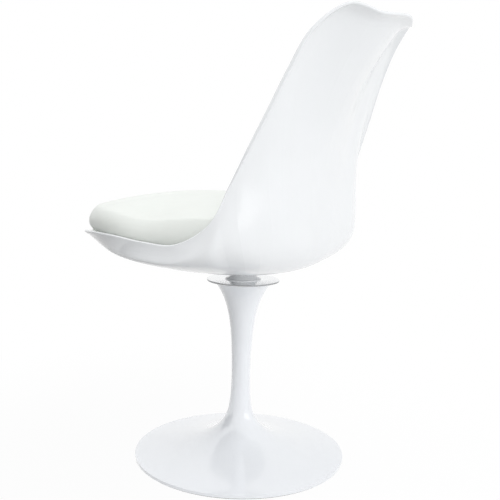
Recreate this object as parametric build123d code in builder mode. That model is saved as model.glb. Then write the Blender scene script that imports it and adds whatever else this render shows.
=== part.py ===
from build123d import *
from math import atan2, cos, exp, log, pi, sin
import os

os.makedirs("parts", exist_ok=True)

# Frame: millimetres, +Z up, front of the seat towards -Y, origin on the floor under the swivel axis.

# Rim of the shell's right half, from the middle of the front edge to the middle of the top edge.
FRONT_EDGE = (0, -271, 404)
FRONT_CORNER = (163, -239, 418)
SEAT_SIDE = (243, -74, 427)
SEAT_BEND = (241, 69, 444)
WING_FOOT = (220, 109, 517)
WING_MIDDLE = (187, 160, 638)
SHOULDER = (157, 212, 752)
TOP_CORNER = (139, 238, 784)
TOP_QUARTER = (71, 274, 783)
TOP_EDGE = (0, 296, 786)

# Shell: a flat round floor, a bowl that leaves it level, and a wall that climbs to the rim.
SHELL_WALL = 5.0
FLOOR_R = 70.0
FLOOR_Z = 359.0
BOWL_HALF_WIDTH = 267.0
BOWL_FRONT = 208.0
BOWL_BACK = 194.0
BOWL_POWER_FRONT = 2.1
BOWL_POWER_BACK = 2.8
BOWL_RISE_FRONT = 34.0
BOWL_RISE_SIDE = 38.0
BOWL_RISE_BACK = 18.0
BOWL_RUN = 0.47
WALL_LEAN_SEAT = 0.40
WALL_LEAN_BACK = -0.28
WALL_HEIGHT_SEAT = 0.55
WALL_HEIGHT_BACK = 0.23
NECK_SEAT = 0.41
NECK_BACK = 0.58
LUMBAR_PULL = 84.0
WALL_FOLLOW = 0.3
# The rim rolls outwards, a little along the seat and more along the top of the back.
LIP_TURN_SEAT = 1.5
LIP_TURN_TOP = 13.0
LIP_RUN_SEAT = 16.0
LIP_RUN_TOP = 30.0
LIP_BEND = 0.6
LIP_START_Z = 735.0
LIP_FULL_Z = 790.0
SHELL_SPAN_COUNT = 16

# Swivel stack, from the pedestal's top face up.
PEDESTAL_TOP_Z = 330.5
DUST_RING_H = 2.2
DUST_RING_IN_R = 40.0
DUST_RING_OUT_R = 49.5
DISC_GAP = 2.5
DISC_T = 3.0
DISC_R = 67.0
GASKET_T = 1.0
PLATE_T = 4.0
PLATE_R = 44.0
SPINDLE_R = 9.0
RUN_FIT = 0.05
HUB_NECK_R = 20.5
HUB_FOOT_R = 33.0
HUB_FOOT_EDGE = 1.2
HUB_SWEEP_OUT = 0.4
HUB_SWEEP_UP = 0.35
HUB_BOSS_R = 16.0
HUB_BOSS_H = 18.0
SCREW_R = 3.0
SCREW_HEAD_R = 6.0
SCREW_L = 29.0
SCREW_SOCKET_R = 1.9
SCREW_SOCKET_DEPTH = 2.4
SCREW_CIRCLE_R = 14.5
SCREW_COUNT = 4
SCREW_FREE = 0.3
SCREW_POINT = 0.8

# Thrust bearing under the hub's boss.
RACE_T = 3.0
RACE_GAP = 4.0
RACE_R = 17.5
BALL_R = 2.5
BALL_CIRCLE_R = 13.5
BALL_COUNT = 12
BALL_GRIP = 0.04
GROOVE_FREE = 0.06
RACE_FREE = 0.6
CAGE_T = 2.0
CAGE_IN_R = 10.2
CAGE_OUT_R = 16.8

# Bushes and the spindle's lower end.
BUSH_R = 11.5
BUSH_L = 24.0
BUSH_FLANGE_T = 2.0
BUSH_FLANGE_R = 13.0
LOWER_BUSH_Z = 148.0
END_FLOAT = 0.2
SPINDLE_WASHER_T = 1.6
CLIP_T = 1.6
CLIP_OUT_R = 11.4
CLIP_ROOT_R = 8.3
CLIP_MOUTH = 7.0
SPINDLE_TAIL = 6.0
SPINDLE_CHAMFER = 1.0
SPINDLE_BORE_DEPTH = 30.0

# Pedestal: a slim stem that flares at both ends, each flare dying away over its own length.
BASE_R = 196.0
BASE_EDGE_H = 5.0
BASE_FLARE = 24.0
PEDESTAL_TOP_R = 51.5
TOP_EDGE_H = 1.5
TOP_FLARE = 45.0
STEM_R = 16.4
STEM_WALL = 3.2
PEDESTAL_WALL = 4.5
WASHER_CLEAR = 0.8
FLOOR_PAD_T = 4.0
FLOOR_PAD_SHOW = 1.5
FLOOR_PAD_INSET = 2.0

# Cushion: a loose pillow with a flat spot under it for the touch fasteners.
PAD_R = 11.0
PAD_T = 2.5
PAD_CIRCLE_R = 57.0
PAD_COUNT = 4
PAD_REST_GAP = 0.05
CUSHION_SIDE_CLEAR = 17.0
CUSHION_FRONT_Y = -264.0
CUSHION_BACK_Y = 136.0
CUSHION_POWER_FRONT = 2.4
CUSHION_POWER_BACK = 4.0
CUSHION_FLAT_R = 69.0
CUSHION_EDGE_Z = 412.0
CUSHION_FRONT_RISE = 12.0
CUSHION_RISE_FROM = 0.1
CUSHION_RISE_RUN = 0.6
CUSHION_SHOULDER_Z = 459.0
CUSHION_CROWN_Z = 494.0
CUSHION_TURN = 10.0
CUSHION_TURN_IN = 16.0
CUSHION_TOP_IN = 70.0
CUSHION_DOME = 0.7
CUSHION_UNDER_RUN = 0.32
CUSHION_UNDER_IN = 34.0
CUSHION_UNDER_LIFT = 0.58
CUSHION_BAND_LOW = 0.2
CUSHION_BAND_HIGH = 0.7
CUSHION_BULGE = 7.0
CUSHION_BACK_BULGE = 3.0
CUSHION_CAP_R = 30.0
CUSHION_SPAN_COUNT = 12
WELT_R = 2.4
# Length of the handles, over the radius, that make a quarter circle.
ROUND_ARM = 0.5523

# Sizes that follow from those above.
CUSHION_HALF_WIDTH = SEAT_SIDE[0] - SHELL_WALL - CUSHION_SIDE_CLEAR
FLOOR_PAD_R = BASE_R - FLOOR_PAD_INSET
CAVITY_R = STEM_R - STEM_WALL
WASHER_R = CAVITY_R - WASHER_CLEAR
BASE_TOP_Z = FLOOR_PAD_SHOW + BASE_EDGE_H
STEM_TOP_Z = PEDESTAL_TOP_Z - TOP_EDGE_H
DISC_Z = PEDESTAL_TOP_Z + DISC_GAP
HUB_Z = DISC_Z + DISC_T
HUB_TOP_Z = FLOOR_Z - GASKET_T
BOSS_Z = HUB_Z - HUB_BOSS_H
SHELL_FLOOR_Z = FLOOR_Z + SHELL_WALL
PLATE_TOP_Z = SHELL_FLOOR_Z + PLATE_T
UPPER_RACE_Z = BOSS_Z - RACE_T
BALL_Z = UPPER_RACE_Z - RACE_GAP / 2
LOWER_RACE_Z = UPPER_RACE_Z - RACE_GAP - RACE_T
UPPER_BUSH_Z = LOWER_RACE_Z - BUSH_FLANGE_T
LOWER_FLANGE_Z = LOWER_BUSH_Z - BUSH_FLANGE_T
WASHER_TOP_Z = LOWER_FLANGE_Z - END_FLOAT
CLIP_TOP_Z = WASHER_TOP_Z - SPINDLE_WASHER_T
SPINDLE_END_Z = CLIP_TOP_Z - CLIP_T - SPINDLE_TAIL
CUSHION_FLAT_Z = SHELL_FLOOR_Z + 2 * PAD_T + PAD_REST_GAP


def finish(piece, name):
    piece.part.label = name
    export_step(piece.part, f"parts/{name}.step")


def mix(low, high, share):
    return low + (high - low) * share


def ease(x):
    x = min(max(x, 0), 1)
    return x * x * (3 - 2 * x)


def mirrored(point):
    return Vector(-point.X, point.Y, point.Z)


# The shell's surface is found by u along the rim, 0 at the front and 1 at the top, and t from floor to rim.
rim_line = Spline(
    FRONT_EDGE,
    FRONT_CORNER,
    SEAT_SIDE,
    SEAT_BEND,
    WING_FOOT,
    WING_MIDDLE,
    SHOULDER,
    TOP_CORNER,
    TOP_QUARTER,
    TOP_EDGE,
    tangents=[(1, 0, 0), (-1, 0, 0)],
    tangent_scalars=[1, 1],
)


def lip_share(z):
    return ease((z - LIP_START_Z) / (LIP_FULL_Z - LIP_START_Z))


def rib(u):
    # Control points of the wall's profile at u, then the lip's edge.
    rim = rim_line @ u
    angle = atan2(rim.X, -rim.Y)
    out = Vector(sin(angle), -cos(angle), 0)
    front = max(-out.Y, 0) ** 2
    back = max(out.Y, 0) ** 2
    rise = BOWL_RISE_FRONT * front + BOWL_RISE_SIDE * out.X**2 + BOWL_RISE_BACK * back
    reach = BOWL_FRONT if out.Y < 0 else BOWL_BACK
    power = BOWL_POWER_FRONT if out.Y < 0 else BOWL_POWER_BACK
    bowl = (abs(out.X / BOWL_HALF_WIDTH) ** power + abs(out.Y / reach) ** power) ** (-1 / power)
    on_back = ease((rim.Z - SEAT_SIDE[2]) / (WING_MIDDLE[2] - SEAT_SIDE[2]))
    edge = out * FLOOR_R + Vector(0, 0, FLOOR_Z)
    corner = out * bowl + Vector(0, 0, FLOOR_Z + rise)
    level = out * mix(FLOOR_R, bowl, BOWL_RUN) + Vector(0, 0, FLOOR_Z)
    wall = corner + (rim - corner) * mix(WALL_LEAN_SEAT, WALL_LEAN_BACK, on_back)
    wall_z = FLOOR_Z + (rim.Z - FLOOR_Z) * mix(WALL_HEIGHT_SEAT, WALL_HEIGHT_BACK, on_back)
    wall = Vector(wall.X, wall.Y, wall_z)
    neck = rim + (wall - rim) * mix(NECK_SEAT, NECK_BACK, on_back)
    neck = neck - Vector(0, on_back * LUMBAR_PULL * max(out.Y, 0), 0)
    up = (rim - neck).normalized()
    normal = (rim_line % u).cross(up).normalized()
    run = mix(LIP_RUN_SEAT, LIP_RUN_TOP, lip_share(rim.Z))
    turn = mix(LIP_TURN_SEAT, LIP_TURN_TOP, lip_share(rim.Z))
    lip = up * run + normal * turn
    tip = rim - lip.normalized() * (SHELL_WALL / 2)
    back_off = tip - lip - rim
    return [edge, level, corner, wall + back_off * WALL_FOLLOW, neck + back_off, rim + back_off, tip]


def bezier(points, t):
    # A point on the curve, by repeated halving of the control polygon at t.
    while len(points) > 1:
        points = [p + (q - p) * t for p, q in zip(points, points[1:])]
    return points[0]


def wall_point(u, t):
    if u < 0:
        return mirrored(wall_point(-u, t))
    if u > 1:
        return mirrored(wall_point(2 - u, t))
    return bezier(rib(u)[:6], t)


def outward(u, t):
    # Unit normal on the outside of the wall, by small steps both ways.
    if t == 0:
        return Vector(0, 0, -1)
    step = 0.004
    along = wall_point(u + step, t) - wall_point(u - step, t)
    up = wall_point(u, min(t + step, 1)) - wall_point(u, t - step)
    return along.cross(up).normalized()


def shell_section(u):
    # Control points of one section through the wall: outside, lip, rolled edge, lip, inside.
    *points, tip = rib(u)
    start = points[5]
    up = (start - points[4]).normalized()
    normal = outward(u, 1)
    run = up.dot(tip - start)
    bend = start + up * (run * LIP_BEND)
    half = start + up * (run * LIP_BEND / 2)
    lead = (tip - bend).normalized()
    side = (normal - lead * normal.dot(lead)).normalized()
    outside = [*points, half, bend, tip]
    floor_normal = outward(u, 0)
    normals = [floor_normal, floor_normal, outward(u, 0.4), outward(u, 0.6), normal, normal, normal]
    normals += [(normal + side).normalized(), side]
    inside = [p - n * SHELL_WALL for p, n in zip(outside, normals)]
    roll = lead * (SHELL_WALL * 2 / 3)
    rolled = [outside[8], outside[8] + roll, inside[8] + roll, inside[8]]
    return {
        "wall": outside[:6],
        "lip": outside[5:],
        "edge": rolled,
        "lip_in": inside[5:],
        "wall_in": inside[:6],
    }


def reflect(points):
    return {name: [mirrored(p) for p in row] for name, row in points.items()}


def span_rows(sections, name, k):
    # Four rows of control points that carry the section at step k smoothly to the next one.
    before, here, there, after = (sections[k + i][name] for i in range(4))
    leave = [p + (q - o) / 6 for o, p, q in zip(before, here, there)]
    arrive = [q - (r - p) / 6 for p, q, r in zip(here, there, after)]
    return [here, leave, arrive, there]


def flat_disc(sections, name, end, spans):
    rows = [[row[end] for row in span_rows(sections, name, k)] for k in range(spans)]
    rows += [[mirrored(p) for p in row] for row in rows]
    return Face(Wire([Edge.make_bezier(*row) for row in rows]))


def patched_solid(section, spans, *discs):
    # A closed solid, mirrored about X = 0, of smooth patches between sections at even steps.
    sections = [section(k / spans) for k in range(spans + 1)]
    sections = [reflect(sections[1]), *sections, reflect(sections[-2])]
    skins = [flat_disc(sections, name, end, spans) for name, end in discs]
    for strip in sections[0]:
        for k in range(spans):
            rows = span_rows(sections, strip, k)
            skins.append(Face.make_bezier_surface(rows))
            skins.append(Face.make_bezier_surface([[mirrored(p) for p in row] for row in rows]))
    return Solid(Shell(skins))


with BuildPart() as seat_shell:
    add(patched_solid(shell_section, SHELL_SPAN_COUNT, ("wall", 0), ("wall_in", 0)))
    with Locations((0, 0, FLOOR_Z + SHELL_WALL / 2)):
        with PolarLocations(SCREW_CIRCLE_R, SCREW_COUNT):
            Cylinder(SCREW_R + SCREW_FREE, 2 * SHELL_WALL, mode=Mode.SUBTRACT)
finish(seat_shell, "seat_shell")


def turned(points):
    # A ring or shaft turned about Z from its outline of (radius, height) corners.
    with BuildPart() as piece:
        with BuildSketch(Plane.XZ):
            with BuildLine():
                Polyline(*points, close=True)
            make_face()
        revolve(axis=Axis.Z)
    return piece


def sleeve(inner, outer, low, high):
    return turned([(inner, low), (outer, low), (outer, high), (inner, high)])


# Hub: neck under the shell, foot on the disc, boss down into the pedestal's mouth.
BORE_TOP_Z = BOSS_Z + SPINDLE_BORE_DEPTH
with BuildPart() as seat_hub:
    with BuildSketch(Plane.XZ):
        with BuildLine():
            Polyline(
                (HUB_NECK_R, HUB_TOP_Z),
                (0, HUB_TOP_Z),
                (0, BORE_TOP_Z),
                (SPINDLE_R, BORE_TOP_Z),
                (SPINDLE_R, BOSS_Z),
                (HUB_BOSS_R, BOSS_Z),
                (HUB_BOSS_R, HUB_Z),
                (HUB_FOOT_R, HUB_Z),
                (HUB_FOOT_R, HUB_Z + HUB_FOOT_EDGE),
            )
            Bezier(
                (HUB_FOOT_R, HUB_Z + HUB_FOOT_EDGE),
                (mix(HUB_NECK_R, HUB_FOOT_R, HUB_SWEEP_OUT), HUB_Z + 2 * HUB_FOOT_EDGE),
                (HUB_NECK_R, mix(HUB_Z, HUB_TOP_Z, HUB_SWEEP_UP)),
                (HUB_NECK_R, HUB_TOP_Z),
            )
        make_face()
    revolve(axis=Axis.Z)
    with Locations((0, 0, PLATE_TOP_Z - SCREW_L / 2)):
        with PolarLocations(SCREW_CIRCLE_R, SCREW_COUNT):
            Cylinder(SCREW_R, SCREW_L, mode=Mode.SUBTRACT)
finish(seat_hub, "seat_hub")

with BuildPart() as hub_gasket:
    with BuildSketch(Plane.XY.offset(HUB_TOP_Z)):
        Circle(HUB_NECK_R)
        with PolarLocations(SCREW_CIRCLE_R, SCREW_COUNT):
            Circle(SCREW_R + SCREW_FREE, mode=Mode.SUBTRACT)
    extrude(amount=GASKET_T)
finish(hub_gasket, "hub_gasket")

with BuildPart() as clamp_plate:
    with BuildSketch(Plane.XY.offset(SHELL_FLOOR_Z)):
        Circle(PLATE_R)
    extrude(amount=PLATE_T)
    fillet(clamp_plate.edges().filter_by(GeomType.CIRCLE).group_by(Axis.Z)[-1], PLATE_T / 4)
    with Locations((0, 0, PLATE_TOP_Z)):
        with PolarLocations(SCREW_CIRCLE_R, SCREW_COUNT):
            CounterSinkHole(SCREW_R + SCREW_FREE, SCREW_HEAD_R, counter_sink_angle=90)
finish(clamp_plate, "clamp_plate")

# One countersunk screw about the axis, then four copies round the bolt circle.
SCREW_END_Z = PLATE_TOP_Z - SCREW_L
with BuildPart() as one_screw:
    with BuildSketch(Plane.XZ):
        with BuildLine():
            Polyline(
                (0, SCREW_END_Z),
                (SCREW_R - SCREW_POINT, SCREW_END_Z),
                (SCREW_R, SCREW_END_Z + SCREW_POINT),
                (SCREW_R, PLATE_TOP_Z - SCREW_HEAD_R + SCREW_R),
                (SCREW_HEAD_R - SCREW_FREE, PLATE_TOP_Z - SCREW_FREE),
                (0, PLATE_TOP_Z - SCREW_FREE),
                close=True,
            )
        make_face()
    revolve(axis=Axis.Z)
    with BuildSketch(Plane.XY.offset(PLATE_TOP_Z)):
        RegularPolygon(SCREW_SOCKET_R, 6)
    extrude(amount=-SCREW_SOCKET_DEPTH, mode=Mode.SUBTRACT)
with BuildPart() as hub_screws:
    with PolarLocations(SCREW_CIRCLE_R, SCREW_COUNT):
        add(one_screw.part)
finish(hub_screws, "hub_screws")

with BuildPart() as swivel_disc:
    with BuildSketch(Plane.XY.offset(DISC_Z)):
        Circle(DISC_R)
        Circle(HUB_BOSS_R, mode=Mode.SUBTRACT)
    extrude(amount=DISC_T)
    rims = swivel_disc.edges().filter_by(GeomType.CIRCLE).filter_by(lambda e: e.radius > HUB_FOOT_R)
    fillet(rims, DISC_T / 3)
finish(swivel_disc, "swivel_disc")

finish(sleeve(DUST_RING_IN_R, DUST_RING_OUT_R, PEDESTAL_TOP_Z, PEDESTAL_TOP_Z + DUST_RING_H), "dust_ring")

# Spindle with a groove for its clip.
GROOVE_LOW_Z = CLIP_TOP_Z - CLIP_T
spindle = turned(
    [
        (0, SPINDLE_END_Z),
        (SPINDLE_R - SPINDLE_CHAMFER, SPINDLE_END_Z),
        (SPINDLE_R, SPINDLE_END_Z + SPINDLE_CHAMFER),
        (SPINDLE_R, GROOVE_LOW_Z),
        (CLIP_ROOT_R, GROOVE_LOW_Z),
        (CLIP_ROOT_R, CLIP_TOP_Z),
        (SPINDLE_R, CLIP_TOP_Z),
        (SPINDLE_R, BORE_TOP_Z),
        (0, BORE_TOP_Z),
    ]
)
finish(spindle, "spindle")


def race(inner, low):
    # A flat ring with the ball track cut in the face that looks at the balls.
    with BuildPart() as piece:
        add(sleeve(inner, RACE_R - RUN_FIT, low, low + RACE_T).part)
        with Locations((0, 0, BALL_Z)):
            Torus(BALL_CIRCLE_R, BALL_R + GROOVE_FREE, mode=Mode.SUBTRACT)
    return piece


finish(race(SPINDLE_R, UPPER_RACE_Z), "upper_race")
finish(race(SPINDLE_R + RACE_FREE, LOWER_RACE_Z), "lower_race")

with BuildPart() as ball_cage:
    with BuildSketch(Plane.XY.offset(BALL_Z - CAGE_T / 2)):
        Circle(CAGE_OUT_R)
        Circle(CAGE_IN_R, mode=Mode.SUBTRACT)
        with PolarLocations(BALL_CIRCLE_R, BALL_COUNT):
            Circle(BALL_R - BALL_GRIP, mode=Mode.SUBTRACT)
    extrude(amount=CAGE_T)
finish(ball_cage, "ball_cage")

with BuildPart() as bearing_balls:
    with Locations((0, 0, BALL_Z)):
        with PolarLocations(BALL_CIRCLE_R, BALL_COUNT):
            Sphere(BALL_R)
finish(bearing_balls, "bearing_balls")

BUSH_BORE_R = SPINDLE_R + RUN_FIT
upper_bush = turned(
    [
        (BUSH_BORE_R, UPPER_BUSH_Z - BUSH_L),
        (BUSH_R, UPPER_BUSH_Z - BUSH_L),
        (BUSH_R, UPPER_BUSH_Z),
        (BUSH_FLANGE_R, UPPER_BUSH_Z),
        (BUSH_FLANGE_R, LOWER_RACE_Z),
        (BUSH_BORE_R, LOWER_RACE_Z),
    ]
)
finish(upper_bush, "upper_bush")

lower_bush = turned(
    [
        (BUSH_BORE_R, LOWER_FLANGE_Z),
        (WASHER_R, LOWER_FLANGE_Z),
        (WASHER_R, LOWER_BUSH_Z),
        (BUSH_R, LOWER_BUSH_Z),
        (BUSH_R, LOWER_BUSH_Z + BUSH_L),
        (BUSH_BORE_R, LOWER_BUSH_Z + BUSH_L),
    ]
)
finish(lower_bush, "lower_bush")

finish(sleeve(SPINDLE_R, WASHER_R, CLIP_TOP_Z, WASHER_TOP_Z), "spindle_washer")

with BuildPart() as spindle_clip:
    with BuildSketch(Plane.XY.offset(GROOVE_LOW_Z)):
        Circle(CLIP_OUT_R)
        Circle(CLIP_ROOT_R, mode=Mode.SUBTRACT)
        with Locations((0, -CLIP_OUT_R)):
            Rectangle(CLIP_MOUTH, 2 * CLIP_OUT_R - CLIP_ROOT_R, mode=Mode.SUBTRACT)
    extrude(amount=CLIP_T)
finish(spindle_clip, "spindle_clip")


def horn(z):
    # Outside radius of the pedestal at a height: the stem and what is left of each flare.
    low = (BASE_R - STEM_R) * exp((BASE_TOP_Z - z) / BASE_FLARE)
    high = (PEDESTAL_TOP_R - STEM_R) * exp((z - STEM_TOP_Z) / TOP_FLARE)
    return STEM_R + low + high


def hollow(z):
    # Inside radius of the pedestal's foot, one wall in and one wall down from the outside.
    return horn(z + PEDESTAL_WALL) - PEDESTAL_WALL


# Pedestal: outside from the base's edge up to the top rim, then down the bore and out along the hollow.
# Its points lie closer together where the curve is tighter.
steps = [share**2 for share in (0, 0.2, 0.35, 0.5, 0.65, 0.8, 1)]
stem_middle_z = (BASE_TOP_Z + STEM_TOP_Z) / 2
outer = [(horn(z), z) for z in (mix(BASE_TOP_Z, stem_middle_z, share) for share in steps)]
outer += [(horn(z), z) for z in (mix(STEM_TOP_Z, stem_middle_z, share) for share in steps[-2::-1])]
neck_z = BASE_TOP_Z - PEDESTAL_WALL
neck_z += BASE_FLARE * log((BASE_R - STEM_R) / (PEDESTAL_WALL - STEM_WALL))
inner = [(hollow(z), z) for z in (mix(FLOOR_PAD_T, neck_z, share) for share in steps)]
with BuildPart() as pedestal:
    with BuildSketch(Plane.XZ):
        with BuildLine():
            Polyline((FLOOR_PAD_R, FLOOR_PAD_SHOW), (outer[0][0], FLOOR_PAD_SHOW), outer[0])
            Spline(*outer)
            Polyline(
                outer[-1],
                (outer[-1][0], PEDESTAL_TOP_Z),
                (RACE_R, PEDESTAL_TOP_Z),
                (RACE_R, LOWER_RACE_Z),
                (BUSH_FLANGE_R, LOWER_RACE_Z),
                (BUSH_FLANGE_R, UPPER_BUSH_Z),
                (BUSH_R, UPPER_BUSH_Z),
                (BUSH_R, LOWER_BUSH_Z),
                (inner[-1][0], LOWER_BUSH_Z),
                inner[-1],
            )
            Spline(*inner[::-1])
            Polyline(inner[0], (FLOOR_PAD_R, FLOOR_PAD_T), (FLOOR_PAD_R, FLOOR_PAD_SHOW))
        make_face()
    revolve(axis=Axis.Z)
finish(pedestal, "pedestal")

# Pad under the base: it closes the hollow and its underside is what stands on the floor.
with BuildPart() as floor_pad:
    with BuildSketch():
        Circle(FLOOR_PAD_R)
    extrude(amount=FLOOR_PAD_T)
finish(floor_pad, "floor_pad")


def pads(low):
    with BuildPart() as piece:
        with BuildSketch(Plane.XY.offset(low)):
            with PolarLocations(PAD_CIRCLE_R, PAD_COUNT, start_angle=180 / PAD_COUNT):
                Circle(PAD_R)
        extrude(amount=PAD_T)
    return piece


finish(pads(SHELL_FLOOR_Z), "hook_pads")
finish(pads(CUSHION_FLAT_Z - PAD_T), "loop_pads")

# Cushion: a pillow on a superellipse outline, flat under the middle, drawn in at the seam, crowned on top.
CUSHION_MIDDLE = Vector(0, (CUSHION_FRONT_Y + CUSHION_BACK_Y) / 2, 0)
CUSHION_HALF_DEPTH = (CUSHION_BACK_Y - CUSHION_FRONT_Y) / 2


def outline(out, grow):
    power = CUSHION_POWER_FRONT if out.Y < 0 else CUSHION_POWER_BACK
    x = abs(out.X) / (CUSHION_HALF_WIDTH + grow)
    y = abs(out.Y) / (CUSHION_HALF_DEPTH + grow)
    return CUSHION_MIDDLE + out * (x**power + y**power) ** (-1 / power)


def seam_z(out):
    # The seam lies in the bowl at the back and sides, and rises to pass over the rim at the front.
    return CUSHION_EDGE_Z + CUSHION_FRONT_RISE * ease((CUSHION_RISE_FROM - out.Y) / CUSHION_RISE_RUN)


def cushion_section(u):
    out = Vector(sin(pi * u), -cos(pi * u), 0)
    low = seam_z(out)
    bulge = mix(CUSHION_BULGE, CUSHION_BACK_BULGE, max(out.Y, 0))
    turn_z = CUSHION_SHOULDER_Z + CUSHION_TURN

    def at(grow, z):
        return outline(out, grow) + Vector(0, 0, z)

    def inner(radius, z):
        return CUSHION_MIDDLE + out * radius + Vector(0, 0, z)

    flat = out * CUSHION_FLAT_R + Vector(0, 0, CUSHION_FLAT_Z)
    level = flat + (at(0, CUSHION_FLAT_Z) - flat) * CUSHION_UNDER_RUN
    return {
        "under": [
            flat,
            level,
            at(-CUSHION_UNDER_IN, mix(CUSHION_FLAT_Z, low, CUSHION_UNDER_LIFT)),
            at(0, low),
        ],
        "band": [
            at(0, low),
            at(bulge, mix(low, CUSHION_SHOULDER_Z, CUSHION_BAND_LOW)),
            at(bulge, mix(low, CUSHION_SHOULDER_Z, CUSHION_BAND_HIGH)),
            at(0, CUSHION_SHOULDER_Z),
        ],
        "top": [
            at(0, CUSHION_SHOULDER_Z),
            at(-bulge / 2, turn_z),
            at(-CUSHION_TURN_IN, turn_z + CUSHION_TURN / 3),
            at(-CUSHION_TOP_IN, mix(turn_z, CUSHION_CROWN_Z, CUSHION_DOME)),
            inner(3 * CUSHION_CAP_R, CUSHION_CROWN_Z),
            inner(CUSHION_CAP_R, CUSHION_CROWN_Z),
        ],
    }


with BuildPart() as seat_cushion:
    add(patched_solid(cushion_section, CUSHION_SPAN_COUNT, ("under", 0), ("top", -1)))
finish(seat_cushion, "seat_cushion")


def welt_section(u):
    # Round the cord in four quarter circles.
    out = Vector(sin(pi * u), -cos(pi * u), 0)
    middle = outline(out, WELT_R / 2) + Vector(0, 0, seam_z(out))
    quarters = {}
    for k in range(4):
        start = (out * cos(pi * k / 2) + Vector(0, 0, sin(pi * k / 2))) * WELT_R
        end = (out * -sin(pi * k / 2) + Vector(0, 0, cos(pi * k / 2))) * WELT_R
        bend = [start, start + end * ROUND_ARM, end + start * ROUND_ARM, end]
        quarters[k] = [middle + p for p in bend]
    return quarters


# Welt: a cord sewn into the seam round the cushion's lower edge.
with BuildPart() as cushion_welt:
    add(patched_solid(welt_section, CUSHION_SPAN_COUNT))
finish(cushion_welt, "cushion_welt")
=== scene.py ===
from math import cos, pi, radians, sin

import bpy
import numpy as np
from mathutils import Matrix, Vector


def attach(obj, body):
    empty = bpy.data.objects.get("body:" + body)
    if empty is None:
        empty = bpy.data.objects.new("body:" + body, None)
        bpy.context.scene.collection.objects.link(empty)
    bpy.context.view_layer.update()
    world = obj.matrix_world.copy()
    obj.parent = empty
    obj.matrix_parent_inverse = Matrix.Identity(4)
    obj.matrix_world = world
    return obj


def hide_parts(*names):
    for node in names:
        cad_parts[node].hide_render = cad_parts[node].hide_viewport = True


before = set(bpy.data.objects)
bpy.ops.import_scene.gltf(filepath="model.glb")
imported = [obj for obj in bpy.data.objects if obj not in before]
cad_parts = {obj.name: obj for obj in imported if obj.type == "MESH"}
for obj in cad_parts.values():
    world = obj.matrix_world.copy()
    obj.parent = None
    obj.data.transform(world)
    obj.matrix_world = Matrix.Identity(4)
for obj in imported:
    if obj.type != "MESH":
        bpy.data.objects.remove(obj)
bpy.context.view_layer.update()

MM = 0.001
scene = bpy.context.scene

# Materials: every one has colour drift, uneven gloss and relief at the scale of the real finish.
# Most of a noise lies in this span. Wear is finer than the drift of the colour by this much.
NOISE_SPAN = (0.3, 0.7)
WEAR_FINER = 3.7
# From upright to level, by the upward part of the normal.
UPRIGHT_SPAN = (0.3, 0.8)


def spread(nodes, links, value, source, target, kind="LINEAR"):
    # Carries a value from one range to another, held at the ends.
    span = nodes.new("ShaderNodeMapRange")
    span.interpolation_type = kind
    span.inputs["From Min"].default_value, span.inputs["From Max"].default_value = source
    span.inputs["To Min"].default_value, span.inputs["To Max"].default_value = target
    links.new(value, span.inputs["Value"])
    return span.outputs["Result"]


def relief(nodes, links, place, kind, scale, height, before):
    # One layer of bump: noise, cells or rings turned about the swivel axis.
    if kind == "cells":
        texture = nodes.new("ShaderNodeTexVoronoi")
        texture.feature = "DISTANCE_TO_EDGE"
        out = texture.outputs["Distance"]
    elif kind == "rings":
        texture = nodes.new("ShaderNodeTexWave")
        texture.wave_type = "RINGS"
        texture.rings_direction = "Z"
        texture.inputs["Distortion"].default_value = 0.6
        out = texture.outputs["Fac"]
    else:
        texture = nodes.new("ShaderNodeTexNoise")
        texture.inputs["Detail"].default_value = 3
        out = texture.outputs["Fac"]
    texture.inputs["Scale"].default_value = scale
    links.new(place, texture.inputs["Vector"])
    bump = nodes.new("ShaderNodeBump")
    bump.inputs["Strength"].default_value = 1.0
    bump.inputs["Distance"].default_value = height
    links.new(out, bump.inputs["Height"])
    if before is not None:
        links.new(before, bump.inputs["Normal"])
    return bump.outputs["Normal"]


def surface(name, dark, light, drift, gloss, layers, **sockets):
    # dark and light are the ends of the colour drift, gloss the least and most roughness.
    material = bpy.data.materials.new(name)
    material.use_nodes = True
    nodes, links = material.node_tree.nodes, material.node_tree.links
    shader = nodes["Principled BSDF"]
    place = nodes.new("ShaderNodeTexCoord").outputs["Object"]
    noise = nodes.new("ShaderNodeTexNoise")
    noise.inputs["Scale"].default_value = drift
    noise.inputs["Detail"].default_value = 4
    links.new(place, noise.inputs["Vector"])
    ramp = nodes.new("ShaderNodeValToRGB")
    for end, position, colour in zip(ramp.color_ramp.elements, NOISE_SPAN, (dark, light)):
        end.position = position
        end.color = (*colour, 1)
    links.new(noise.outputs["Fac"], ramp.inputs["Fac"])
    links.new(ramp.outputs["Color"], shader.inputs["Base Color"])
    wear = nodes.new("ShaderNodeTexNoise")
    wear.inputs["Scale"].default_value = drift * WEAR_FINER
    wear.inputs["Detail"].default_value = 5
    links.new(place, wear.inputs["Vector"])
    links.new(spread(nodes, links, wear.outputs["Fac"], NOISE_SPAN, gloss), shader.inputs["Roughness"])
    normal = None
    for kind, scale, height in layers:
        normal = relief(nodes, links, place, kind, scale, height, normal)
    if normal is not None:
        links.new(normal, shader.inputs["Normal"])
    for socket, value in sockets.items():
        shader.inputs[socket.replace("_", " ")].default_value = value
    return material


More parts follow.
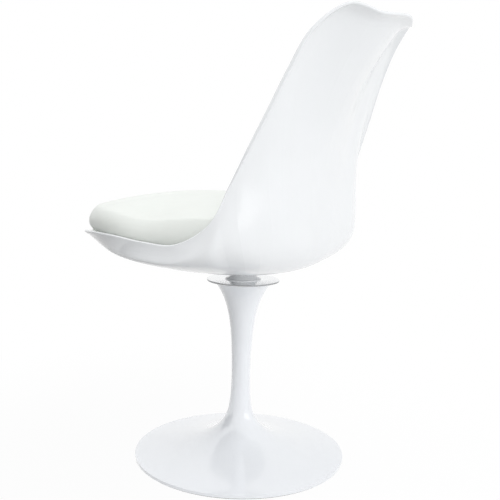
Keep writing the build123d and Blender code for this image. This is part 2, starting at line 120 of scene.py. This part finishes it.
def shade_walls(material, share):
    # Upright faces take a darker tone than level ones, for the dark line round the disc in the photo.
    nodes, links = material.node_tree.nodes, material.node_tree.links
    shader = nodes["Principled BSDF"]
    coords = nodes.new("ShaderNodeTexCoord")
    parts = nodes.new("ShaderNodeSeparateXYZ")
    links.new(coords.outputs["Normal"], parts.inputs["Vector"])
    level = nodes.new("ShaderNodeMath")
    level.operation = "ABSOLUTE"
    links.new(parts.outputs["Z"], level.inputs[0])
    tone = spread(nodes, links, level.outputs["Value"], UPRIGHT_SPAN, (share, 1))
    tint = nodes.new("ShaderNodeMix")
    tint.data_type = "RGBA"
    tint.blend_type = "MULTIPLY"
    tint.inputs["Factor"].default_value = 1.0
    links.new(shader.inputs["Base Color"].links[0].from_socket, tint.inputs["A"])
    links.new(tone, tint.inputs["B"])
    links.new(tint.outputs["Result"], shader.inputs["Base Color"])


shell_gloss = surface(
    "shell_gloss", (0.845, 0.86, 0.87), (0.865, 0.88, 0.89), 9, (0.1, 0.18),
    [("noise", 260, 0.00004), ("noise", 18, 0.0004)], Coat_Weight=0.35, Coat_Roughness=0.06,
)
# The neck is nearly white in the photo, so it has little metal in it, though its slot is aluminium.
hub_bright = surface(
    "hub_bright", (0.92, 0.93, 0.945), (0.945, 0.955, 0.965), 60, (0.26, 0.34),
    [("rings", 600, 0.000003)], Metallic=0.05, Coat_Weight=0.5, Coat_Roughness=0.08,
)
disc_bright = surface(
    "disc_bright", (0.88, 0.89, 0.90), (0.91, 0.92, 0.93), 60, (0.08, 0.16),
    [("rings", 500, 0.000006)], Metallic=1.0,
)
# The disc's upright rim is darkened: painted shade for the dark shadow line between the disc and the
# pedestal.
shade_walls(disc_bright, 0.4)
pedestal_white = surface(
    "pedestal_white", (0.86, 0.88, 0.91), (0.88, 0.9, 0.925), 12, (0.09, 0.17),
    [("noise", 300, 0.00003), ("noise", 26, 0.0002)],
    Coat_Weight=1.0, Coat_Roughness=0.03, Coat_IOR=1.7,
)
zinc_steel = surface(
    "zinc_steel", (0.50, 0.52, 0.56), (0.68, 0.67, 0.62), 60, (0.26, 0.44),
    [("cells", 700, 0.00004)], Metallic=1.0,
)
ground_steel = surface(
    "ground_steel", (0.48, 0.49, 0.51), (0.60, 0.61, 0.63), 90, (0.2, 0.34),
    [("rings", 900, 0.00003)], Metallic=1.0, Anisotropic=0.5,
)
polished_steel = surface(
    "polished_steel", (0.74, 0.75, 0.77), (0.84, 0.85, 0.87), 240, (0.04, 0.1),
    [("noise", 900, 0.000004)], Metallic=1.0,
)
bush_bronze = surface(
    "bush_bronze", (0.46, 0.30, 0.15), (0.68, 0.50, 0.29), 160, (0.34, 0.5),
    [("cells", 1400, 0.00005)], Metallic=1.0,
)
cage_nylon = surface(
    "cage_nylon", (0.64, 0.61, 0.52), (0.74, 0.72, 0.64), 120, (0.36, 0.5),
    [("noise", 800, 0.00004)], Subsurface_Weight=0.15, Subsurface_Scale=0.002,
)
dark_nylon = surface(
    "dark_nylon", (0.07, 0.07, 0.078), (0.12, 0.12, 0.13), 90, (0.38, 0.55), [("noise", 900, 0.00005)],
)
black_rubber = surface(
    "black_rubber", (0.05, 0.05, 0.055), (0.1, 0.1, 0.105), 70, (0.6, 0.8),
    [("cells", 500, 0.00012), ("noise", 60, 0.0002)],
)
touch_fastener = surface(
    "touch_fastener", (0.74, 0.74, 0.71), (0.88, 0.88, 0.86), 400, (0.8, 0.95),
    [("cells", 1100, 0.0006)], Sheen_Weight=0.5, Sheen_Roughness=0.4,
)
cushion_cover = surface(
    "cushion_cover", (0.815, 0.84, 0.80), (0.84, 0.865, 0.825), 11, (0.42, 0.56),
    [("cells", 620, 0.00022), ("noise", 1500, 0.00006), ("noise", 22, 0.0012)],
    Sheen_Weight=0.12, Sheen_Roughness=0.45,
)

finishes = {
    "seat_shell": shell_gloss,
    "seat_hub": hub_bright,
    "hub_gasket": black_rubber,
    "clamp_plate": zinc_steel,
    "hub_screws": zinc_steel,
    "swivel_disc": disc_bright,
    "dust_ring": dark_nylon,
    "spindle": ground_steel,
    "upper_race": ground_steel,
    "lower_race": ground_steel,
    "ball_cage": cage_nylon,
    "bearing_balls": polished_steel,
    "upper_bush": bush_bronze,
    "lower_bush": bush_bronze,
    "spindle_washer": zinc_steel,
    "spindle_clip": ground_steel,
    "pedestal": pedestal_white,
    "floor_pad": black_rubber,
    "hook_pads": touch_fastener,
    "loop_pads": touch_fastener,
}
for node, material in finishes.items():
    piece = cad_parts[node]
    piece.data.materials.clear()
    piece.data.materials.append(material)


# Cushion: the solid's pillow with a fuller band and a dipped top edge, then swelled as a sewn bag.
HALF_WIDTH = 221 * MM
HALF_DEPTH = 200 * MM
MIDDLE_Y = -64 * MM
POWER_FRONT = 2.4
POWER_BACK = 4.0
FLAT_R = 69 * MM
FLAT_Z = 369.05 * MM
EDGE_Z = 412 * MM
FRONT_RISE = 12 * MM
SHOULDER_Z = 468 * MM
SHOULDER_DIP = 12 * MM
SHOULDER_IN = 4 * MM
CROWN_Z = 494 * MM
TURN = 5 * MM
TURN_IN = 14 * MM
TOP_IN = 70 * MM
CAP_R = 30 * MM
UNDER_IN = 34 * MM
BULGE_LOW = 18 * MM
BULGE_HIGH = 8 * MM
SIDE_FILL = 5 * MM
WELT_R = 2.4 * MM
# Where the seam fills out, rises and settles, and where the top edge dips.
# Each is given by the backward part of the way out, -1 at the front and 1 at the back.
FILL_FROM = -0.3
FILL_RUN = 0.4
RISE_FROM = 0.1
RISE_RUN = 0.6
SETTLE_FROM = -0.72
SETTLE_RUN = 0.26
SETTLE_SHARE = 0.8
DIP_AT = 0.05
DIP_SPREAD = 0.3
# Shares of the way along the underside, up it, up the band and up the crown.
UNDER_RUN = 0.32
UNDER_LIFT = 0.58
BAND_LOW = 0.28
BAND_HIGH = 0.74
DOME = 0.75
BACK_SLACK = 0.6
# Swelling: how far the form starts inside its size, the remeshing step and the most a point may move.
START_IN = 0.5 * MM
VOXEL = 4 * MM
SWELL_CAP = 3 * MM
SWELL_FRAMES = 20
# Points round the cushion and rows up each of its parts, and points along and round the welt.
CUSHION_POINTS = 160
UNDER_ROWS = 14
BAND_ROWS = 10
TOP_ROWS = 20
WELT_POINTS = 720
WELT_SIDES = 12
STITCH_NIP = 0.07


def ways(count):
    angle = np.arange(count) * 2 * pi / count
    return np.stack([np.sin(angle), -np.cos(angle), 0 * angle], axis=1)


def lift(z):
    return np.stack([0 * z, 0 * z, z], axis=1)


def outline(out, grow):
    power = np.where(out[:, 1] < 0, POWER_FRONT, POWER_BACK)
    x = np.abs(out[:, 0]) / (HALF_WIDTH + grow)
    y = np.abs(out[:, 1]) / (HALF_DEPTH + grow)
    return (x**power + y**power) ** (-1 / power)


def ease(share):
    share = np.clip(share, 0, 1)
    return share * share * (3 - 2 * share)


def seam_z(out):
    # The lower edge climbs towards the front corners and settles on the lip between them.
    settle = 1 - SETTLE_SHARE * ease((SETTLE_FROM - out[:, 1]) / SETTLE_RUN)
    return EDGE_Z + FRONT_RISE * settle * ease((RISE_FROM - out[:, 1]) / RISE_RUN)


def seam_out(out):
    # The cover fills out towards the shell along the sides and the back.
    return SIDE_FILL * ease((out[:, 1] - FILL_FROM) / FILL_RUN)


def shoulder_z(out):
    # The top edge dips along the middle of each side.
    return SHOULDER_Z - SHOULDER_DIP * np.exp(-(((out[:, 1] - DIP_AT) / DIP_SPREAD) ** 2))


def around(out, radius, z):
    return out * np.reshape(radius, (-1, 1)) + (0, MIDDLE_Y, 0) + lift(z + 0 * out[:, 0])


def curve(points, t):
    while len(points) > 1:
        points = [p + (q - p) * t for p, q in zip(points, points[1:])]
    return points[0]


def grid_mesh(name, rings, low=None, high=None, closed=False):
    # Quads between rings of points, closed on itself or with an end point at the first and last ring.
    count = len(rings[0])
    points = [tuple(p) for ring in rings for p in ring]
    rows = len(rings)
    faces = []
    for k in range(rows if closed else rows - 1):
        a, b = k * count, (k + 1) % rows * count
        faces += [(a + i, a + (i + 1) % count, b + (i + 1) % count, b + i) for i in range(count)]
    if low is not None:
        points.append(low)
        faces += [(len(points) - 1, (i + 1) % count, i) for i in range(count)]
    if high is not None:
        points.append(high)
        top = (rows - 1) * count
        faces += [(len(points) - 1, top + i, top + (i + 1) % count) for i in range(count)]
    mesh = bpy.data.meshes.new(name)
    mesh.from_pydata(points, [], faces)
    mesh.validate()
    mesh.polygons.foreach_set("use_smooth", [True] * len(mesh.polygons))
    piece = bpy.data.objects.new(name, mesh)
    scene.collection.objects.link(piece)
    return piece


def cushion_rings(count):
    out = ways(count)
    low, high, fill = seam_z(out), shoulder_z(out), seam_out(out)
    slack = 1 - BACK_SLACK * np.maximum(out[:, 1], 0)
    flat = out * FLAT_R + (0, 0, FLAT_Z)
    level = flat + (around(out, outline(out, 0), FLAT_Z) - flat) * UNDER_RUN
    seam = around(out, outline(out, fill), low)
    shoulder = around(out, outline(out, -SHOULDER_IN), high)
    drawn = around(out, outline(out, -UNDER_IN), FLAT_Z + (low - FLAT_Z) * UNDER_LIFT)
    under = [flat, level, drawn, seam]
    band = [
        seam,
        around(out, outline(out, BULGE_LOW * slack), low + (high - low) * BAND_LOW),
        around(out, outline(out, BULGE_HIGH * slack), low + (high - low) * BAND_HIGH),
        shoulder,
    ]
    top = [
        shoulder,
        around(out, outline(out, -SHOULDER_IN - TURN_IN), high + TURN),
        around(out, outline(out, -TOP_IN), high + (CROWN_Z - high) * DOME),
        around(out, 3 * CAP_R + 0 * low, CROWN_Z),
        around(out, CAP_R + 0 * low, CROWN_Z),
    ]
    rings = [curve(under, t) for t in np.linspace(0, 1, UNDER_ROWS)]
    rings += [curve(band, t) for t in np.linspace(0, 1, BAND_ROWS)[1:]]
    rings += [curve(top, t) for t in np.linspace(0, 1, TOP_ROWS)[1:]]
    return rings


def coordinates(mesh):
    points = np.empty(len(mesh.vertices) * 3)
    mesh.vertices.foreach_get("co", points)
    return points.reshape(-1, 3)


def baked(piece):
    # The piece's mesh with its modifiers applied.
    depsgraph = bpy.context.evaluated_depsgraph_get()
    return bpy.data.meshes.new_from_object(piece.evaluated_get(depsgraph))


def off_seams(points):
    # How far each point is from the nearer of the two lines where the cover is sewn to its band.
    flat = points - (0, MIDDLE_Y, 0)
    radius = np.hypot(flat[:, 0], flat[:, 1])
    out = np.stack([flat[:, 0] / radius, flat[:, 1] / radius, 0 * radius], axis=1)
    low = np.hypot(radius - outline(out, seam_out(out)), points[:, 2] - seam_z(out))
    high = np.hypot(radius - outline(out, -SHOULDER_IN), points[:, 2] - shoulder_z(out))
    return np.minimum(low, high)


def swell(piece, start_in, voxel, cap):
    # Draws the form in, remeshes it evenly and blows it up like a sewn bag held along its seams.
    normals = np.empty(len(piece.data.vertices) * 3)
    piece.data.vertices.foreach_get("normal", normals)
    points = coordinates(piece.data) - normals.reshape(-1, 3) * start_in
    piece.data.vertices.foreach_set("co", points.ravel())
    remesh = piece.modifiers.new("Even", "REMESH")
    remesh.mode = "VOXEL"
    remesh.voxel_size = voxel
    mesh = baked(piece)
    piece.modifiers.remove(remesh)
    piece.data = mesh
    start = coordinates(mesh)
    held = np.where(off_seams(start) < start_in + voxel)[0]
    rests = np.where(start[:, 2] < FLAT_Z + start_in + 0.5 * voxel)[0]
    group = piece.vertex_groups.new(name="held")
    group.add([int(i) for i in np.union1d(held, rests)], 1.0, "REPLACE")
    cloth = piece.modifiers.new("Swell", "CLOTH")
    cloth.settings.quality = 5
    cloth.settings.tension_stiffness = 12
    cloth.settings.compression_stiffness = 12
    cloth.settings.bending_stiffness = 0.4
    cloth.settings.use_pressure = True
    cloth.settings.uniform_pressure_force = 4
    cloth.settings.vertex_group_mass = "held"
    cloth.settings.effector_weights.gravity = 0
    for k in range(SWELL_FRAMES):
        scene.frame_set(k + 1)
    moved = coordinates(baked(piece)) - start
    scene.frame_set(1)
    piece.modifiers.remove(cloth)
    length = np.maximum(np.linalg.norm(moved, axis=1, keepdims=True), 1e-9)
    mesh.vertices.foreach_set("co", (start + moved * np.minimum(1, cap / length)).ravel())
    mesh.polygons.foreach_set("use_smooth", [True] * len(mesh.polygons))
    mesh.update()
    piece.modifiers.new("Smooth", "SUBSURF").levels = 1


cushion = grid_mesh("cushion", cushion_rings(CUSHION_POINTS), (0, 0, FLAT_Z), (0, MIDDLE_Y, CROWN_Z))
swell(cushion, START_IN, VOXEL, SWELL_CAP)
cushion.data.materials.append(cushion_cover)
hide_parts("seat_cushion")
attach(cushion, "cushion")

# Welt: a cord under the cover, nipped by each stitch.
path = ways(WELT_POINTS)
line = around(path, outline(path, seam_out(path) + WELT_R / 2), seam_z(path))
nip = 1 - STITCH_NIP * np.cos(np.arange(WELT_POINTS) * pi / 2) ** 2
turns = [2 * pi * k / WELT_SIDES for k in range(WELT_SIDES)]
tube = [line + (path * cos(a) + (0, 0, sin(a))) * WELT_R * nip[:, None] for a in turns]
welt = grid_mesh("welt", tube, closed=True)
welt.data.materials.append(cushion_cover)
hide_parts("cushion_welt")
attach(welt, "cushion")


# Stage: a white floor that keeps a faint shadow, white all round, soft lamps.
WHITE = (1, 1, 1, 1)
FLOOR_HALF = 9
# For bounced light the floor goes from dark to pale along this way, over this stretch in metres.
FLOOR_PALE_WAY = (-0.53, 0.85, 0)
FLOOR_TURN = (-0.55, 0.35)
FLOOR_TONE = (0.06, 0.83)
# The floor's own white is a little less near the chair, where the shadow shows.
SHADOW_REACH = (0.2, 0.9)
FLOOR_GLOW = (0.97, 1.0)
# The world is brighter from the camera's right and from above than from its left.
WORLD_COLOUR = (0.985, 0.99, 1.0, 1)
WORLD_BRIGHT_WAY = Vector((-0.23, 0.86, 0.46)).normalized()
WORLD_LEVEL = (0.92, 0.97)


def light_kind(nodes, links):
    # 1 for rays from the camera, mirrors and glass, 0 for the rest.
    rays = nodes.new("ShaderNodeLightPath")
    total = rays.outputs["Is Camera Ray"]
    for name in ("Is Glossy Ray", "Is Transmission Ray"):
        step = nodes.new("ShaderNodeMath")
        step.operation = "MAXIMUM"
        links.new(total, step.inputs[0])
        links.new(rays.outputs[name], step.inputs[1])
        total = step.outputs["Value"]
    return total


def along_way(nodes, links, place, way):
    # How far a place lies along a direction.
    dot = nodes.new("ShaderNodeVectorMath")
    dot.operation = "DOT_PRODUCT"
    dot.inputs[1].default_value = way
    links.new(place, dot.inputs[0])
    return dot.outputs["Value"]


def mixed(nodes, links, share, first, second, output):
    # Mixes two shaders into the output node.
    mix = nodes.new("ShaderNodeMixShader")
    links.new(share, mix.inputs["Fac"])
    links.new(first, mix.inputs[1])
    links.new(second, mix.inputs[2])
    links.new(mix.outputs["Shader"], nodes.new(output).inputs["Surface"])


def floor_material():
    material = bpy.data.materials.new("floor_white")
    material.use_nodes = True
    nodes, links = material.node_tree.nodes, material.node_tree.links
    nodes.clear()
    place = nodes.new("ShaderNodeTexCoord").outputs["Object"]
    paper = nodes.new("ShaderNodeBsdfDiffuse")
    across = along_way(nodes, links, place, FLOOR_PALE_WAY)
    links.new(spread(nodes, links, across, FLOOR_TURN, FLOOR_TONE, "SMOOTHSTEP"), paper.inputs["Color"])
    glow = nodes.new("ShaderNodeEmission")
    glow.inputs["Color"].default_value = WHITE
    reach = nodes.new("ShaderNodeVectorMath")
    reach.operation = "LENGTH"
    links.new(place, reach.inputs[0])
    fade = spread(nodes, links, reach.outputs["Value"], SHADOW_REACH, FLOOR_GLOW, "SMOOTHSTEP")
    share = nodes.new("ShaderNodeMath")
    share.operation = "MULTIPLY"
    links.new(light_kind(nodes, links), share.inputs[0])
    links.new(fade, share.inputs[1])
    mixed(
        nodes, links, share.outputs["Value"],
        paper.outputs["BSDF"], glow.outputs["Emission"], "ShaderNodeOutputMaterial",
    )
    return material


def panel(name, half_width, half_height, material):
    # A flat stage piece about its own middle.
    w, h = half_width, half_height
    mesh = bpy.data.meshes.new(name)
    mesh.from_pydata([(-w, -h, 0), (w, -h, 0), (w, h, 0), (-w, h, 0)], [], [(0, 1, 2, 3)])
    mesh.materials.append(material)
    piece = bpy.data.objects.new(name, mesh)
    scene.collection.objects.link(piece)
    return piece


def studio_world():
    world = bpy.data.worlds.new("studio")
    world.use_nodes = True
    nodes, links = world.node_tree.nodes, world.node_tree.links
    nodes.clear()
    soft = nodes.new("ShaderNodeBackground")
    soft.inputs["Color"].default_value = WORLD_COLOUR
    view = nodes.new("ShaderNodeTexCoord").outputs["Generated"]
    bright = along_way(nodes, links, view, WORLD_BRIGHT_WAY)
    links.new(spread(nodes, links, bright, (-1, 1), WORLD_LEVEL), soft.inputs["Strength"])
    white = nodes.new("ShaderNodeBackground")
    white.inputs["Color"].default_value = WHITE
    white.inputs["Strength"].default_value = 1.0
    mixed(
        nodes, links, light_kind(nodes, links),
        soft.outputs["Background"], white.outputs["Background"], "ShaderNodeOutputWorld",
    )
    return world


panel("floor", FLOOR_HALF, FLOOR_HALF, floor_material())
scene.world = studio_world()


def lamp(name, place, target, width, height, power, mirrored):
    data = bpy.data.lights.new(name, "AREA")
    data.shape = "RECTANGLE"
    data.size = width
    data.size_y = height
    data.energy = power
    lit = bpy.data.objects.new(name, data)
    lit.location = place
    lit.rotation_euler = (Vector(target) - Vector(place)).to_track_quat("-Z", "Y").to_euler()
    lit.visible_glossy = mirrored
    scene.collection.objects.link(lit)


lamp("top", (0.2, -0.8, 2.5), (0, 0, 0.4), 2.4, 2.4, 11, False)
lamp("fill", (2.35, 1.2, 0.65), (0, 0, 0.45), 2.2, 0.8, 10, False)
lamp("left", (0.6, -1.9, 2.2), (0, 0, 0.1), 1.0, 1.0, 5, False)
lamp("window", (-0.15, 2.6, 0.83), (0.15, 0.1, 0.5), 2.4, 0.7, 6.5, True)


def card(name, place, width, height, grey):
    # A panel that faces the swivel axis. It shades and is mirrored, but the camera doesn't see it.
    felt = bpy.data.materials.new(name)
    felt.use_nodes = True
    shader = felt.node_tree.nodes["Principled BSDF"]
    shader.inputs["Base Color"].default_value = (grey, grey, grey, 1)
    shader.inputs["Roughness"].default_value = 0.9
    stood = panel(name, width / 2, height / 2, felt)
    stood.location = place
    stood.rotation_euler = (Vector((0, 0, place[2])) - Vector(place)).to_track_quat("Z", "Y").to_euler()
    stood.visible_camera = False


card("card_left", (0.9, -1.5, 0.85), 2.0, 1.1, 0.03)

# Camera: behind the sitter's left side, at the height of the back, turned a little about its own axis.
CAMERA_PLACE = (1.1527, 0.7203, 0.5729)
LENS_MM = 53.6
SENSOR_MM = 36
swing, dip, yaw, roll = (radians(a) for a in (32.0, 7.66, 0.47, 1.49))
away = Vector((cos(swing), sin(swing), 0))
along = Vector((-sin(swing), cos(swing), 0))
up = Vector((0, 0, 1))
ahead = -cos(dip) * cos(yaw) * away + cos(dip) * sin(yaw) * along - sin(dip) * up
across = sin(yaw) * away + cos(yaw) * along
over = across.cross(ahead)
right = cos(roll) * across + sin(roll) * over
above = cos(roll) * over - sin(roll) * across
lens = bpy.data.cameras.new("camera")
lens.sensor_width = SENSOR_MM
lens.lens = LENS_MM
camera = bpy.data.objects.new("camera", lens)
turn = Matrix((right, above, -ahead)).transposed().to_4x4()
camera.matrix_world = Matrix.Translation(CAMERA_PLACE) @ turn
scene.collection.objects.link(camera)
scene.camera = camera
scene.view_settings.view_transform = "Standard"
